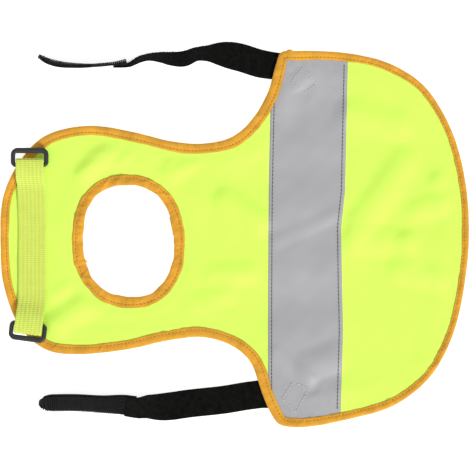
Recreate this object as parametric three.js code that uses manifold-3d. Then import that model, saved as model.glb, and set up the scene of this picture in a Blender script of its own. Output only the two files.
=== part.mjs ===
// A hi-vis safety vest for a hen, laid flat: a cloth saddle and bib in one piece, with a neck hole,
// bound edges, a reflective band, a webbing strip that carries two plastic rings across the chest,
// and two hook-and-loop straps that are sewn under the saddle's front corners.
//
// Millimetres, +Z up. While it is drawn, x runs from the bib's front edge to the tail and y = 0 is the
// middle line of the bird, with the bird's right at +Y. The finished group is centred on its own box.

import * as THREE from 'three';
import { mergeVertices } from 'three/addons/utils/BufferGeometryUtils.js';
import Module from 'manifold-3d';

const wasm = await Module();
wasm.setup();

const { degToRad, lerp, smoothstep } = THREE.MathUtils;

// ---------------------------------------------------------------- driving sizes

const GAP = 0.3; // between two sewn pieces
const CLOTH = 1.0; // wall of the cloth, the bindings and the reflective band
const WEBBING_WIDTH = 18.6;
const WEBBING_WALL = 1.0;
const STRAP_WIDTH = 18.7;
const STRAP_WALL = 1.2;
const RING_BAR = 2.6; // height of a ring, and the diameter of the bar that the webbing holds
const RING_SIDE_BAR = 3.0;
const RING_OUTER_BAR = 3.7;
const RING_SIDE_PLAY = 0.3; // between the webbing's edge and a ring's side bar
const RING_SLOT = 8.0; // from the held bar's middle to the outer bar
const RING_CORNER = 3.0;
const RING_HELD_CORNER = 2.2; // tighter, so the webbing keeps clear of it as the ring swings

// The edge of the vest from the bib's front to the tail, one row for each place on both halves:
// the right half's x and y, the left half's x and y, and the width of binding that shows.
const FRONT = { x: 0, y: -5.5, hem: 5.6 };
const TAIL = { x: 312.3, y: 5.1, hem: 4.6 };
const EDGE = [
  { rightX: 2.3, rightY: 30.5, leftX: 2.6, leftY: -32.2, hem: 5.8 }, // bib front
  { rightX: 16.3, rightY: 57.1, leftX: 14.3, leftY: -60.2, hem: 6.3 }, // bib corner
  { rightX: 31.6, rightY: 70.1, leftX: 31.6, leftY: -73.9, hem: 6.5 },
  { rightX: 58.3, rightY: 75.9, leftX: 54.3, leftY: -76.3, hem: 6.3 }, // bib at its widest
  { rightX: 89.6, rightY: 71.5, leftX: 89.6, leftY: -72.2, hem: 6.3 },
  { rightX: 114.3, rightY: 65.5, leftX: 111.6, leftY: -67.2, hem: 6.5 },
  { rightX: 134.3, rightY: 64.0, leftX: 134.9, leftY: -65.0, hem: 6.6 }, // waist
  { rightX: 154.3, rightY: 68.5, leftX: 154.3, leftY: -70.9, hem: 6.8 },
  { rightX: 167.6, rightY: 80.1, leftX: 166.3, leftY: -81.2, hem: 7.0 },
  { rightX: 178.3, rightY: 98.5, leftX: 174.3, leftY: -102.2, hem: 7.2 }, // front of the saddle
  { rightX: 183.3, rightY: 115.8, leftX: 178.9, leftY: -113.2, hem: 7.0 },
  { rightX: 186.9, rightY: 124.8, leftX: 185.6, leftY: -122.9, hem: 6.6 }, // saddle's front corner
  { rightX: 198.3, rightY: 125.8, leftX: 199.6, leftY: -125.0, hem: 6.2 },
  { rightX: 229.6, rightY: 124.5, leftX: 232.9, leftY: -119.5, hem: 5.6 }, // saddle's side
  { rightX: 258.3, rightY: 117.8, leftX: 262.9, leftY: -110.2, hem: 5.2 },
  { rightX: 282.3, rightY: 102.5, leftX: 286.3, leftY: -91.5, hem: 4.6 }, // saddle's rear corner
  { rightX: 300.9, rightY: 72.5, leftX: 301.6, leftY: -63.5, hem: 4.4 },
  { rightX: 310.3, rightY: 36.5, leftX: 310.3, leftY: -23.5, hem: 4.6 },
];
const EDGE_STEPS = 4; // straight pieces for each row of the edge

// The neck hole is a slightly squared oval that leans a little towards the tail.
const NECK = { x: 85.3, y: -0.9, halfLength: 30.4, halfWidth: 37.3, squareness: 2.3, lean: 0.055 };
const NECK_HEM = 7.1;
const NECK_STEPS = 48;

// Soft folds of the cloth, each a low ridge along a line.
const FOLDS = [
  { fromX: 73.6, fromY: 62.0, toX: 58.3, toY: 45.1, height: 2.6, reach: 11 },
  { fromX: 128.3, fromY: 55.5, toX: 112.3, toY: 43.1, height: 2.4, reach: 11 },
  { fromX: 62.3, fromY: -42.5, toX: 38.3, toY: -58.2, height: 3.0, reach: 12 },
  { fromX: 150.3, fromY: 24.0, toX: 168.3, toY: 14.0, height: 2.2, reach: 14 },
  { fromX: 272.3, fromY: 46.0, toX: 246.3, toY: 8.0, height: 2.6, reach: 15 },
  { fromX: 300.3, fromY: 26.5, toX: 278.3, toY: 18.5, height: 2.2, reach: 11 },
  { fromX: 298.3, fromY: -28.9, toX: 268.3, toY: -18.9, height: 2.4, reach: 11 },
  { fromX: 206.3, fromY: -84.0, toX: 222.3, toY: -78.0, height: 2.0, reach: 14 },
];

// The reflective band's two long edges, by distance from the middle line.
const BAND = [
  { y: 130, front: 181.0, rear: 231.8 },
  { y: 64, front: 179.4, rear: 230.3 },
  { y: 32, front: 178.8, rear: 229.6 },
  { y: 8, front: 178.6, rear: 227.0 },
  { y: -30, front: 178.4, rear: 227.6 },
  { y: -60, front: 178.3, rear: 228.3 },
  { y: -130, front: 178.3, rear: 226.3 },
];

// The straps from tip to sewn end: the middle line, the roll about it and the share of full width.
// A negative roll turns the hooks and loops towards +Y, a positive roll towards -Y.
const RIGHT_STRAP = [
  { x: 24.9, y: 121.8, roll: -84, span: 0.15 },
  { x: 26.3, y: 121.1, roll: -84, span: 0.5 },
  { x: 30.3, y: 118.8, roll: -83, span: 0.88 },
  { x: 35.6, y: 117.0, roll: -82, span: 1 },
  { x: 50.3, y: 115.3, roll: -85, span: 1 },
  { x: 74.9, y: 116.5, roll: -88, span: 1 },
  { x: 84.3, y: 117.7, roll: -84, span: 1 },
  { x: 98.3, y: 121.5, roll: -77, span: 1 },
  { x: 106.3, y: 121.5, roll: -68, span: 1 },
  { x: 114.3, y: 120.5, roll: -60, span: 1 },
  { x: 122.3, y: 120.5, roll: -56, span: 1 },
  { x: 130.3, y: 123.5, roll: -60, span: 1 },
  { x: 138.3, y: 124.1, roll: -54, span: 1 },
  { x: 146.3, y: 123.8, roll: -33, span: 1 },
  { x: 158.3, y: 121.8, roll: -4, span: 1 },
  { x: 174.3, y: 117.1, roll: 0, span: 1 },
  { x: 186.3, y: 115.5, roll: 0, span: 0.95 },
  { x: 194.9, y: 114.5, roll: 0, span: 0.95 },
];
const LEFT_STRAP = [
  { x: 26.7, y: -108.4, roll: 54, span: 0.15 },
  { x: 27.9, y: -108.5, roll: 54, span: 0.55 },
  { x: 30.9, y: -108.5, roll: 54, span: 0.88 },
  { x: 34.9, y: -108.4, roll: 54, span: 1 },
  { x: 50.3, y: -108.3, roll: 54, span: 1 },
  { x: 68.9, y: -109.4, roll: 52, span: 1 },
  { x: 82.9, y: -109.9, roll: 45, span: 1 },
  { x: 90.3, y: -110.9, roll: 43, span: 1 },
  { x: 98.3, y: -111.2, roll: 32, span: 1 },
  { x: 106.3, y: -111.5, roll: 17, span: 1 },
  { x: 114.3, y: -110.9, roll: 3, span: 1 },
  { x: 122.3, y: -109.7, roll: 0, span: 1 },
  { x: 150.3, y: -106.5, roll: 0, span: 1 },
  { x: 166.3, y: -103.9, roll: 0, span: 1 },
  { x: 176.9, y: -102.9, roll: 0, span: 1 },
  { x: 186.3, y: -103.9, roll: 0, span: 1 },
  { x: 200.9, y: -108.9, roll: 0, span: 0.95 },
];
// Where the loop tape starts and the hook tape ends, and the side of the hook tape it is sewn on:
// +1 on the hooks, -1 on their back.
const STRAPS = [
  { name: 'strap_right', rows: RIGHT_STRAP, loopStart: 75.2, hookEnd: 84.3, side: -1 },
  { name: 'strap_left', rows: LEFT_STRAP, loopStart: 83.2, hookEnd: 90.3, side: 1 },
];

// Where the cloth rises over a strap's sewn end.
const OVER_STRAP = [
  { x: 187, y: 115, flat: 17 },
  { x: 187, y: -105, flat: 21 },
];
const OVER_STRAP_FADE = 32;

// Each ring by the middle of the bar that the webbing holds, the heading of the webbing as it comes
// to the ring, and how far the webbing's fold reaches past that bar.
const RINGS = [
  { name: 'ring_right', x: 19.5, y: 49.6, heading: 90, foldReach: 4.6 },
  { name: 'ring_left', x: 18.9, y: -56.1, heading: -97.5, foldReach: 7.0 },
];
const WEBBING_TURN_BACK = 9; // length of the end that lies under the webbing
const WEBBING_MIDDLE = { x: 21.1, rightY: 33, leftY: -29 };

// ---------------------------------------------------------------- heights

const HEM_HEIGHT = 3 * CLOTH + 2 * GAP; // binding, cloth, binding
const EDGE_LIFT = CLOTH + GAP; // the cloth's edge lies on the binding's lower arm
const EDGE_FLAT = 8.5;
const EDGE_FADE = 24;
const STRAP_LIFT = STRAP_WALL + GAP;
const UNDER_WEBBING = HEM_HEIGHT + GAP; // the webbing's turned-back end crosses the binding
const BAR_LEVEL = UNDER_WEBBING + WEBBING_WALL + GAP + RING_BAR / 2;
const FOLD_RADIUS = (RING_BAR + WEBBING_WALL) / 2 + GAP;

// ---------------------------------------------------------------- plain geometry helpers

function segmentDistance(x, y, ax, ay, bx, by) {
  const runX = bx - ax;
  const runY = by - ay;
  const along = ((x - ax) * runX + (y - ay) * runY) / (runX * runX + runY * runY);
  const t = Math.min(1, Math.max(0, along));
  return Math.hypot(x - ax - t * runX, y - ay - t * runY);
}

function loopDistance(x, y, loop) {
  return Math.min(...loop.map((point, i) => {
    const next = loop[(i + 1) % loop.length];
    return segmentDistance(x, y, point.x, point.y, next.x, next.y);
  }));
}

// Moves each point of a counter-clockwise loop to its left by amount(point). Where a tight corner
// would fold the moved loop over itself, its points are spread along the mitre instead.
function insetLoop(loop, amount) {
  const count = loop.length;
  const moved = loop.map((point, i) => {
    const before = loop[(i + count - 1) % count];
    const after = loop[(i + 1) % count];
    const length = Math.hypot(after.x - before.x, after.y - before.y);
    const shift = amount(point) / length;
    return { x: point.x - (after.y - before.y) * shift, y: point.y + (after.x - before.x) * shift };
  });
  const sound = moved.map((point, i) => loopDistance(point.x, point.y, loop) >= Math.abs(amount(loop[i])) * 0.93);
  return moved.map((point, i) => {
    if (sound[i]) return point;
    let back = 1;
    let ahead = 1;
    while (!sound[(i + count - back) % count]) back += 1;
    while (!sound[(i + ahead) % count]) ahead += 1;
    const from = moved[(i + count - back) % count];
    const to = moved[(i + ahead) % count];
    const share = back / (back + ahead);
    return { x: lerp(from.x, to.x, share), y: lerp(from.y, to.y, share) };
  });
}

// One closed mesh from corner points and triangles, turned so that its faces point out.
function closedMesh(corners, triangles) {
  const volume = triangles.reduce((sum, [a, b, c]) => (
    sum + corners[a].dot(new THREE.Vector3().crossVectors(corners[b], corners[c]))
  ), 0);
  const faces = volume > 0 ? triangles : triangles.map(([a, b, c]) => [a, c, b]);
  const geometry = new THREE.BufferGeometry().setFromPoints(corners);
  geometry.setIndex(faces.flat());
  return geometry;
}

// The same number of corners in every section; a path that closes on itself needs no end caps.
function skin(sections, closedPath) {
  const corners = sections.flat();
  const size = sections[0].length;
  const triangles = [];
  const spans = closedPath ? sections.length : sections.length - 1;
  for (let i = 0; i < spans; i += 1) {
    const next = (i + 1) % sections.length;
    for (let j = 0; j < size; j += 1) {
      const k = (j + 1) % size;
      triangles.push([i * size + j, next * size + j, next * size + k]);
      triangles.push([i * size + j, next * size + k, i * size + k]);
    }
  }
  if (!closedPath) {
    const last = (sections.length - 1) * size;
    for (let j = 1; j < size - 1; j += 1) {
      triangles.push([0, j, j + 1]);
      triangles.push([last, last + j + 1, last + j]);
    }
  }
  return closedMesh(corners, triangles);
}

function toSolid(geometry) {
  const bare = geometry.clone();
  bare.deleteAttribute('normal');
  bare.deleteAttribute('uv');
  const merged = mergeVertices(bare, 1e-5);
  return new wasm.Manifold(new wasm.Mesh({
    numProp: 3,
    vertProperties: new Float32Array(merged.attributes.position.array),
    triVerts: new Uint32Array(merged.index.array),
  }));
}

function toGeometry(solid) {
  const mesh = solid.getMesh();
  const geometry = new THREE.BufferGeometry();
  geometry.setAttribute('position', new THREE.BufferAttribute(mesh.vertProperties, 3));
  geometry.setIndex(new THREE.BufferAttribute(mesh.triVerts, 1));
  return geometry;
}

// An upright solid over a closed outline, tall enough to cut any of the cloth.
function prism(outline, holes = []) {
  const asVectors = (loop) => loop.map(({ x, y }) => new THREE.Vector2(x, y));
  const shape = new THREE.Shape(asVectors(outline));
  shape.holes = holes.map((hole) => new THREE.Path(asVectors(hole)));
  const geometry = new THREE.ExtrudeGeometry(shape, { depth: 60, bevelEnabled: false });
  geometry.translate(0, 0, -20);
  return toSolid(geometry);
}

// ---------------------------------------------------------------- the vest's outline

function vestEdge() {
  const right = EDGE.map(({ rightX, rightY, hem }) => new THREE.Vector3(rightX, rightY, hem));
  const left = EDGE.map(({ leftX, leftY, hem }) => new THREE.Vector3(leftX, leftY, hem));
  const front = new THREE.Vector3(FRONT.x, FRONT.y, FRONT.hem);
  const tail = new THREE.Vector3(TAIL.x, TAIL.y, TAIL.hem);
  const around = [front, ...left, tail, ...right.reverse()];
  const curve = new THREE.CatmullRomCurve3(around, true, 'centripetal');
  const points = curve.getPoints(around.length * EDGE_STEPS).slice(0, -1);
  return points.map(({ x, y, z }) => ({ x, y, hem: z }));
}

function neckEdge() {
  const power = 2 / NECK.squareness;
  return Array.from({ length: NECK_STEPS }, (_, i) => {
    const angle = (i / NECK_STEPS) * 2 * Math.PI;
    const reachX = Math.sign(Math.cos(angle)) * Math.abs(Math.cos(angle)) ** power;
    const reachY = Math.sign(Math.sin(angle)) * Math.abs(Math.sin(angle)) ** power;
    const x = NECK.halfLength * reachX;
    return { x: NECK.x + x, y: NECK.y + NECK.halfWidth * reachY - NECK.lean * x };
  });
}

const OUTER_EDGE = vestEdge();
const NECK_EDGE = neckEdge();

// ---------------------------------------------------------------- the cloth's heights

function strapRise(x, y) {
  return Math.max(...OVER_STRAP.map((place) => {
    const distance = Math.hypot(x - place.x, y - place.y);
    return STRAP_LIFT * (1 - smoothstep(distance, place.flat, place.flat + OVER_STRAP_FADE));
  }));
}

function foldRise(x, y) {
  return FOLDS.reduce((sum, fold) => {
    const distance = segmentDistance(x, y, fold.fromX, fold.fromY, fold.toX, fold.toY);
    const share = Math.min(1, distance / fold.reach);
    return sum + fold.height * (1 - share * share) ** 2;
  }, 0);
}

function underside(x, y) {
  const inside = Math.min(loopDistance(x, y, OUTER_EDGE), loopDistance(x, y, NECK_EDGE));
  const freed = smoothstep(inside, EDGE_FLAT, EDGE_FADE);
  return strapRise(x, y) + EDGE_LIFT * (1 - freed) + foldRise(x, y) * freed;
}

const GRID = { fromX: -4, toX: 318, fromY: -132, toY: 132, step: 7 };

// A flat sheet of cloth on a square grid, lifted by the cloth's heights and then cut to shape.
function sheet(lift, cutter) {
  const across = Math.ceil((GRID.toX - GRID.fromX) / GRID.step);
  const up = Math.ceil((GRID.toY - GRID.fromY) / GRID.step);
  const corners = [];
  const bottom = (i, j) => (j * (across + 1) + i) * 2;
  for (let j = 0; j <= up; j += 1) {
    for (let i = 0; i <= across; i += 1) {
      const x = GRID.fromX + i * GRID.step;
      const y = GRID.fromY + j * GRID.step;
      const z = underside(x, y) + lift;
      corners.push(new THREE.Vector3(x, y, z), new THREE.Vector3(x, y, z + CLOTH));
    }
  }
  const triangles = [];
  const wall = (a, b) => triangles.push([a, b, b + 1], [a, b + 1, a + 1]);
  for (let j = 0; j < up; j += 1) {
    for (let i = 0; i < across; i += 1) {
      const [a, b, c, d] = [bottom(i, j), bottom(i + 1, j), bottom(i + 1, j + 1), bottom(i, j + 1)];
      triangles.push([a, c, b], [a, d, c], [a + 1, b + 1, c + 1], [a + 1, c + 1, d + 1]);
    }
  }
  for (let i = 0; i < across; i += 1) {
    wall(bottom(i, 0), bottom(i + 1, 0));
    wall(bottom(i + 1, up), bottom(i, up));
  }
  for (let j = 0; j < up; j += 1) {
    wall(bottom(across, j), bottom(across, j + 1));
    wall(bottom(0, j + 1), bottom(0, j));
  }
  return toGeometry(toSolid(closedMesh(corners, triangles)).intersect(cutter));
}

// ---------------------------------------------------------------- cloth pieces

// The saddle and bib: its edges lie inside the folds of the two bindings.
function bodyPanel() {
  const edge = insetLoop(OUTER_EDGE, () => CLOTH + 2 * GAP);
  const hole = insetLoop(NECK_EDGE, () => -(CLOTH + 2 * GAP));
  return sheet(0, prism(edge, [hole]));
}

function reflectiveBand() {
  const front = BAND.map(({ y, front: x }) => ({ x, y }));
  const rear = BAND.map(({ y, rear: x }) => ({ x, y }));
  const inHem = insetLoop(OUTER_EDGE, ({ hem }) => hem + GAP);
  return sheet(CLOTH + GAP, prism(inHem).intersect(prism([...rear, ...front.reverse()])));
}

// A binding folded over an edge: a C whose back runs along the loop and whose arms lie above and
// below the cloth. side is +1 where the cloth is to the left of the loop, -1 where it is to the right.
function binding(loop, hem, side) {
  const section = [
    { inset: () => 0, z: 0 },
    { inset: hem, z: 0 },
    { inset: hem, z: CLOTH },
    { inset: () => CLOTH + GAP, z: CLOTH },
    { inset: () => CLOTH + GAP, z: 2 * (CLOTH + GAP) },
    { inset: hem, z: 2 * (CLOTH + GAP) },
    { inset: hem, z: HEM_HEIGHT },
    { inset: () => 0, z: HEM_HEIGHT },
  ];
  const rails = section.map(({ inset, z }) => (
    insetLoop(loop, (point) => side * inset(point))
      .map(({ x, y }) => new THREE.Vector3(x, y, z + strapRise(x, y)))
  ));
  return skin(loop.map((_, i) => rails.map((rail) => rail[i])), true);
}

// ---------------------------------------------------------------- ribbons

// rows: the middle of each section, the direction across the ribbon, and the share of full width.
function ribbon(rows, width, wall) {
  return skin(rows.map(({ middle, across, span = 1 }, i) => {
    const before = rows[Math.max(i - 1, 0)].middle;
    const after = rows[Math.min(i + 1, rows.length - 1)].middle;
    const along = new THREE.Vector3().subVectors(after, before);
    const side = across.clone().setLength((width * span) / 2);
    const up = new THREE.Vector3().crossVectors(along, across).setLength(wall / 2);
    return [[-1, -1], [1, -1], [1, 1], [-1, 1]].map(([a, b]) => (
      middle.clone().addScaledVector(side, a).addScaledVector(up, b)
    ));
  }), false);
}

// Reads one column of a strap's table at x, on a smooth curve through its rows.
function readRow(rows, column, x) {
  const found = rows.findIndex((row) => row.x > x);
  const right = found < 0 ? rows.length - 1 : Math.max(found, 1);
  const left = right - 1;
  const slope = (k) => {
    const before = rows[Math.max(k - 1, 0)];
    const after = rows[Math.min(k + 1, rows.length - 1)];
    return (after[column] - before[column]) / (after.x - before.x);
  };
  const run = rows[right].x - rows[left].x;
  const t = (x - rows[left].x) / run;
  const bend = (1 - t) * (1 - t) * t * run * slope(left) - (1 - t) * t * t * run * slope(right);
  const blend = smoothstep(t, 0, 1);
  return lerp(rows[left][column], rows[right][column], blend) + bend;
}

function strapTape(rows, from, to, offset) {
  const stations = [from, ...rows.map(({ x }) => x).filter((x) => x > from + 1 && x < to - 1), to];
  const between = stations.slice(1).map((x, i) => [(stations[i] + x) / 2, x]).flat();
  return ribbon([from, ...between].map((x) => {
    const roll = degToRad(readRow(rows, 'roll', x));
    const span = Math.min(1, readRow(rows, 'span', x));
    const slope = (readRow(rows, 'y', x + 0.5) - readRow(rows, 'y', x - 0.5));
    const along = new THREE.Vector3(1, slope, 0).normalize();
    const across = new THREE.Vector3(-along.y, along.x, 0).multiplyScalar(Math.cos(roll));
    across.z = Math.sin(roll);
    const normal = new THREE.Vector3().crossVectors(along, across);
    const resting = (Math.abs(Math.sin(roll)) * STRAP_WIDTH * span + Math.cos(roll) * STRAP_WALL) / 2;
    const middle = new THREE.Vector3(x, readRow(rows, 'y', x), resting);
    middle.addScaledVector(normal, offset(x));
    middle.z = Math.max(middle.z, resting);
    return { middle, across, span };
  }), STRAP_WIDTH, STRAP_WALL);
}

const hookTape = ({ rows, hookEnd }) => strapTape(rows, rows[0].x, hookEnd, () => 0);

function loopTape({ rows, loopStart, hookEnd, side }) {
  const lapped = (x) => side * (STRAP_WALL + GAP) * (1 - smoothstep(x, hookEnd + 0.5, hookEnd + 9));
  return strapTape(rows, loopStart, rows.at(-1).x, lapped);
}

// The webbing's end at a ring: turned back under the held bar, round the fold and over the bar.
function webbingEnd(ring) {
  const heading = degToRad(ring.heading);
  const out = new THREE.Vector3(Math.cos(heading), Math.sin(heading), 0);
  const place = (along, z) => new THREE.Vector3(ring.x, ring.y, z).addScaledVector(out, along);
  const foldCentre = ring.foldReach - FOLD_RADIUS - WEBBING_WALL / 2;
  const fold = Array.from({ length: 9 }, (_, i) => {
    const angle = -Math.PI / 2 + (i * Math.PI) / 8;
    return place(foldCentre + FOLD_RADIUS * Math.cos(angle), BAR_LEVEL + FOLD_RADIUS * Math.sin(angle));
  });
  const top = BAR_LEVEL + FOLD_RADIUS;
  return [
    place(-WEBBING_TURN_BACK, BAR_LEVEL - FOLD_RADIUS),
    ...fold,
    place(-2.5, top),
    place(-5.5, top - 0.6),
    place(-8.5, top - 1.8),
  ];
}

function chestWebbing() {
  const [right, left] = RINGS;
  const lying = EDGE_LIFT + CLOTH + GAP + WEBBING_WALL / 2;
  const { x, rightY, leftY } = WEBBING_MIDDLE;
  const middle = [
    new THREE.Vector3(x, rightY + 3, lying + 1.4),
    new THREE.Vector3(x, rightY - 2, lying + 0.4),
    new THREE.Vector3(x, rightY - 7, lying),
    new THREE.Vector3(x, leftY - 3, lying),
    new THREE.Vector3(x, leftY - 9, lying + 0.4),
    new THREE.Vector3(x - 0.4, leftY - 14, lying + 1.6),
  ];
  const acrossAt = (headingDegrees) => {
    const heading = degToRad(headingDegrees);
    return new THREE.Vector3(Math.sin(heading), -Math.cos(heading), 0);
  };
  const atRight = acrossAt(right.heading);
  const atLeft = acrossAt(left.heading + 180);
  const straight = acrossAt(90);
  return ribbon([
    ...webbingEnd(right).map((point) => ({ middle: point, across: atRight })),
    ...middle.slice(0, -1).map((point) => ({ middle: point, across: straight })),
    { middle: middle.at(-1), across: atLeft },
    ...webbingEnd(left).reverse().map((point) => ({ middle: point, across: atLeft })),
  ], WEBBING_WIDTH, WEBBING_WALL);
}

// ---------------------------------------------------------------- rings

// A moulded loop swept round a rounded rectangle; the bar inside the webbing is round, so it turns.
function ringLoop() {
  const half = WEBBING_WIDTH / 2 + RING_SIDE_PLAY + RING_SIDE_BAR / 2;
  const far = RING_SLOT + RING_OUTER_BAR / 2;
  const r = RING_CORNER;
  const tight = RING_HELD_CORNER;
  const corners = [
    { x: half - r, y: far - r, r, from: 0, bars: [RING_SIDE_BAR, RING_OUTER_BAR] },
    { x: r - half, y: far - r, r, from: 90, bars: [RING_OUTER_BAR, RING_SIDE_BAR] },
    { x: tight - half, y: tight, r: tight, from: 180, bars: [RING_SIDE_BAR, RING_BAR] },
    { x: half - tight, y: tight, r: tight, from: 270, bars: [RING_BAR, RING_SIDE_BAR] },
  ];
  const cornerSteps = 5;
  const sections = corners.flatMap(({ x, y, r: corner, from, bars }) => (
    Array.from({ length: cornerSteps + 1 }, (_, i) => {
      const angle = degToRad(from + (90 * i) / cornerSteps);
      const halfBar = lerp(bars[0], bars[1], i / cornerSteps) / 2;
      return Array.from({ length: 12 }, (__, j) => {
        const turn = (j / 12) * 2 * Math.PI;
        const reach = corner + halfBar * Math.cos(turn);
        const z = (RING_BAR / 2) * Math.sin(turn);
        return new THREE.Vector3(x + reach * Math.cos(angle), y + reach * Math.sin(angle), z);
      });
    })
  ));
  return skin(sections, true);
}

// ---------------------------------------------------------------- the vest

const FINISHES = {
  cloth: { color: 0xd8ff4a, roughness: 0.75 },
  reflective: { color: 0xb4b4b6, roughness: 0.45 },
  binding: { color: 0xe9a92f, roughness: 0.7 },
  webbing: { color: 0xe0ec74, roughness: 0.8 },
  plastic: { color: 0x2c3032, roughness: 0.5 },
  loop: { color: 0x141414, roughness: 1.0 },
  hook: { color: 0x2b2b2a, roughness: 0.6 },
};

function addPiece(group, name, geometry, finish) {
  const mesh = new THREE.Mesh(geometry, new THREE.MeshStandardMaterial({ metalness: 0, ...FINISHES[finish] }));
  mesh.name = name;
  group.add(mesh);
  return mesh;
}

const vest = new THREE.Group();
addPiece(vest, 'body_panel', bodyPanel(), 'cloth');
addPiece(vest, 'reflective_tape', reflectiveBand(), 'reflective');
addPiece(vest, 'outer_binding', binding(OUTER_EDGE, ({ hem }) => hem, 1), 'binding');
addPiece(vest, 'neck_binding', binding(NECK_EDGE, () => NECK_HEM, -1), 'binding');
addPiece(vest, 'chest_webbing', chestWebbing(), 'webbing');
RINGS.forEach(({ name, x, y, heading }) => {
  const ring = addPiece(vest, name, ringLoop(), 'plastic');
  ring.position.set(x, y, BAR_LEVEL);
  ring.rotation.z = degToRad(heading - 90);
});
STRAPS.forEach((strap) => {
  addPiece(vest, `${strap.name}_loop`, loopTape(strap), 'loop');
  addPiece(vest, `${strap.name}_hook`, hookTape(strap), 'hook');
});

const box = new THREE.Box3().setFromObject(vest);
const centre = box.getCenter(new THREE.Vector3());
vest.position.set(-centre.x, -centre.y, -box.min.z);

export default vest;
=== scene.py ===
# %% [markdown]
# # A hi-vis safety vest for a hen, laid flat
# The vest is one cut of fluorescent cloth with a neck hole, bound in orange, with a band of
# reflective tape, a strip of webbing that holds two plastic rings, and two hook-and-loop straps.
# It is drawn in a maker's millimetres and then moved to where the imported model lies. This lesson
# makes the cloth, thread and plastic that show. Blender's lengths are metres; `MM` turns one into
# the other.

# %% Load the frame
import math

import bpy
import numpy as np
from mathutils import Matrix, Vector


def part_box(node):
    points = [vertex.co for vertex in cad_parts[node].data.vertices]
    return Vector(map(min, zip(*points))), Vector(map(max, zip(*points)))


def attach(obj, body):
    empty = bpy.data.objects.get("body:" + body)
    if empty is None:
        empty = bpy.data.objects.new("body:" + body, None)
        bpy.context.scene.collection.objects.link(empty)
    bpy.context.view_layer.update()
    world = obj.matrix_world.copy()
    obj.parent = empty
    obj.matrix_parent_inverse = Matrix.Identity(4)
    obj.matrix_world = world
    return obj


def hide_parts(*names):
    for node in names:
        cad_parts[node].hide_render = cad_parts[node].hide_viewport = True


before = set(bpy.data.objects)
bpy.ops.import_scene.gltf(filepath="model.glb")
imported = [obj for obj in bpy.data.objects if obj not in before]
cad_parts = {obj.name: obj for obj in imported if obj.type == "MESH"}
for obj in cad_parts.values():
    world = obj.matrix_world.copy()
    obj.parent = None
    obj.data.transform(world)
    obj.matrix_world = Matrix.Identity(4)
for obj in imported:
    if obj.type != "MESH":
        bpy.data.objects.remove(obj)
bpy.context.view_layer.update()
MM = 0.001
rng = np.random.RandomState(7)

# %% [markdown]
# ## The cut
# A maker would cut the panel round a pattern. The pattern could be a Blender curve drawn by hand.
# Here it is a smooth curve through a few measured places on each half, because numbers can be
# shared: cloth, binding and thread all follow this one edge. Each place also gives the width of
# binding that shows there. The drawing has x from the bib's front and y from the middle line, and is
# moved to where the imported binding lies.

# %% The edge of the vest
FRONT = (0.0, -5.5, 5.6)
TAIL = (312.3, 5.1, 4.6)
# right x, right y, left x, left y, binding
EDGE = [
    (2.3, 30.5, 2.6, -32.2, 5.8),
    (16.3, 57.1, 14.3, -60.2, 6.3),
    (31.6, 70.1, 31.6, -73.9, 6.5),
    (58.3, 75.9, 54.3, -76.3, 6.3),
    (89.6, 71.5, 89.6, -72.2, 6.3),
    (114.3, 65.5, 111.6, -67.2, 6.5),
    (134.3, 64.0, 134.9, -65.0, 6.6),
    (154.3, 68.5, 154.3, -70.9, 6.8),
    (167.6, 80.1, 166.3, -81.2, 7.0),
    (178.3, 98.5, 174.3, -102.2, 7.2),
    (183.3, 115.8, 178.9, -113.2, 7.0),
    (186.9, 124.8, 185.6, -122.9, 6.6),
    (198.3, 125.8, 199.6, -125.0, 6.2),
    (229.6, 124.5, 232.9, -119.5, 5.6),
    (258.3, 117.8, 262.9, -110.2, 5.2),
    (282.3, 102.5, 286.3, -91.5, 4.6),
    (300.9, 72.5, 301.6, -63.5, 4.4),
    (310.3, 36.5, 310.3, -23.5, 4.6),
]


def distance_along(points):
    """The distance from the first point to each, along straight pieces."""
    return np.concatenate([[0.0], np.cumsum(np.linalg.norm(np.diff(points, axis=0), axis=1))])


def smooth_loop(places, steps):
    """A closed centripetal curve through the places, with the same number of steps in each span."""
    p = np.array(places, float)
    out = []
    for i in range(len(p)):
        a, b, c, d = (p[(i + k) % len(p)] for k in (-1, 0, 1, 2))
        ab, bc, cd = (math.sqrt(np.linalg.norm(v)) for v in (b - a, c - b, d - c))
        leave = ((b - a) / ab - (c - a) / (ab + bc) + (c - b) / bc) * bc
        arrive = ((c - b) / bc - (d - b) / (bc + cd) + (d - c) / cd) * bc
        t = (np.arange(steps) / steps)[:, None]
        curve = b + leave * t + (3 * (c - b) - 2 * leave - arrive) * t ** 2
        out.append(curve + (2 * (b - c) + leave + arrive) * t ** 3)
    return np.vstack(out)


def even_loop(loop, count):
    """The same closed curve with its points at even distances, and its length."""
    closed = np.vstack([loop, loop[:1]])
    along = distance_along(closed[:, :2])
    at = np.arange(count) / count * along[-1]
    return np.stack([np.interp(at, along, closed[:, k]) for k in range(closed.shape[1])], 1), along[-1]


# straight pieces between two places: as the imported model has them, and for what shows
PACKED_STEPS, FINE_STEPS = 4, 40
EDGE_POINTS = 1500
around = [FRONT] + [(lx, ly, hem) for _, _, lx, ly, hem in EDGE] + [TAIL]
around += [(rx, ry, hem) for rx, ry, _, _, hem in reversed(EDGE)]
drawn_edge = smooth_loop(around, PACKED_STEPS)
SHIFT = np.array(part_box("outer_binding")[0][:2]) / MM - drawn_edge[:, :2].min(0)
edge, EDGE_LENGTH = even_loop(smooth_loop(around, FINE_STEPS), EDGE_POINTS)
# thinner copies are quicker to measure against
edge_to_measure, edge_to_test = edge[::2], edge[::3]
print("the edge is", round(EDGE_LENGTH), "mm long; the drawing moves by", SHIFT.round(2))

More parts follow.
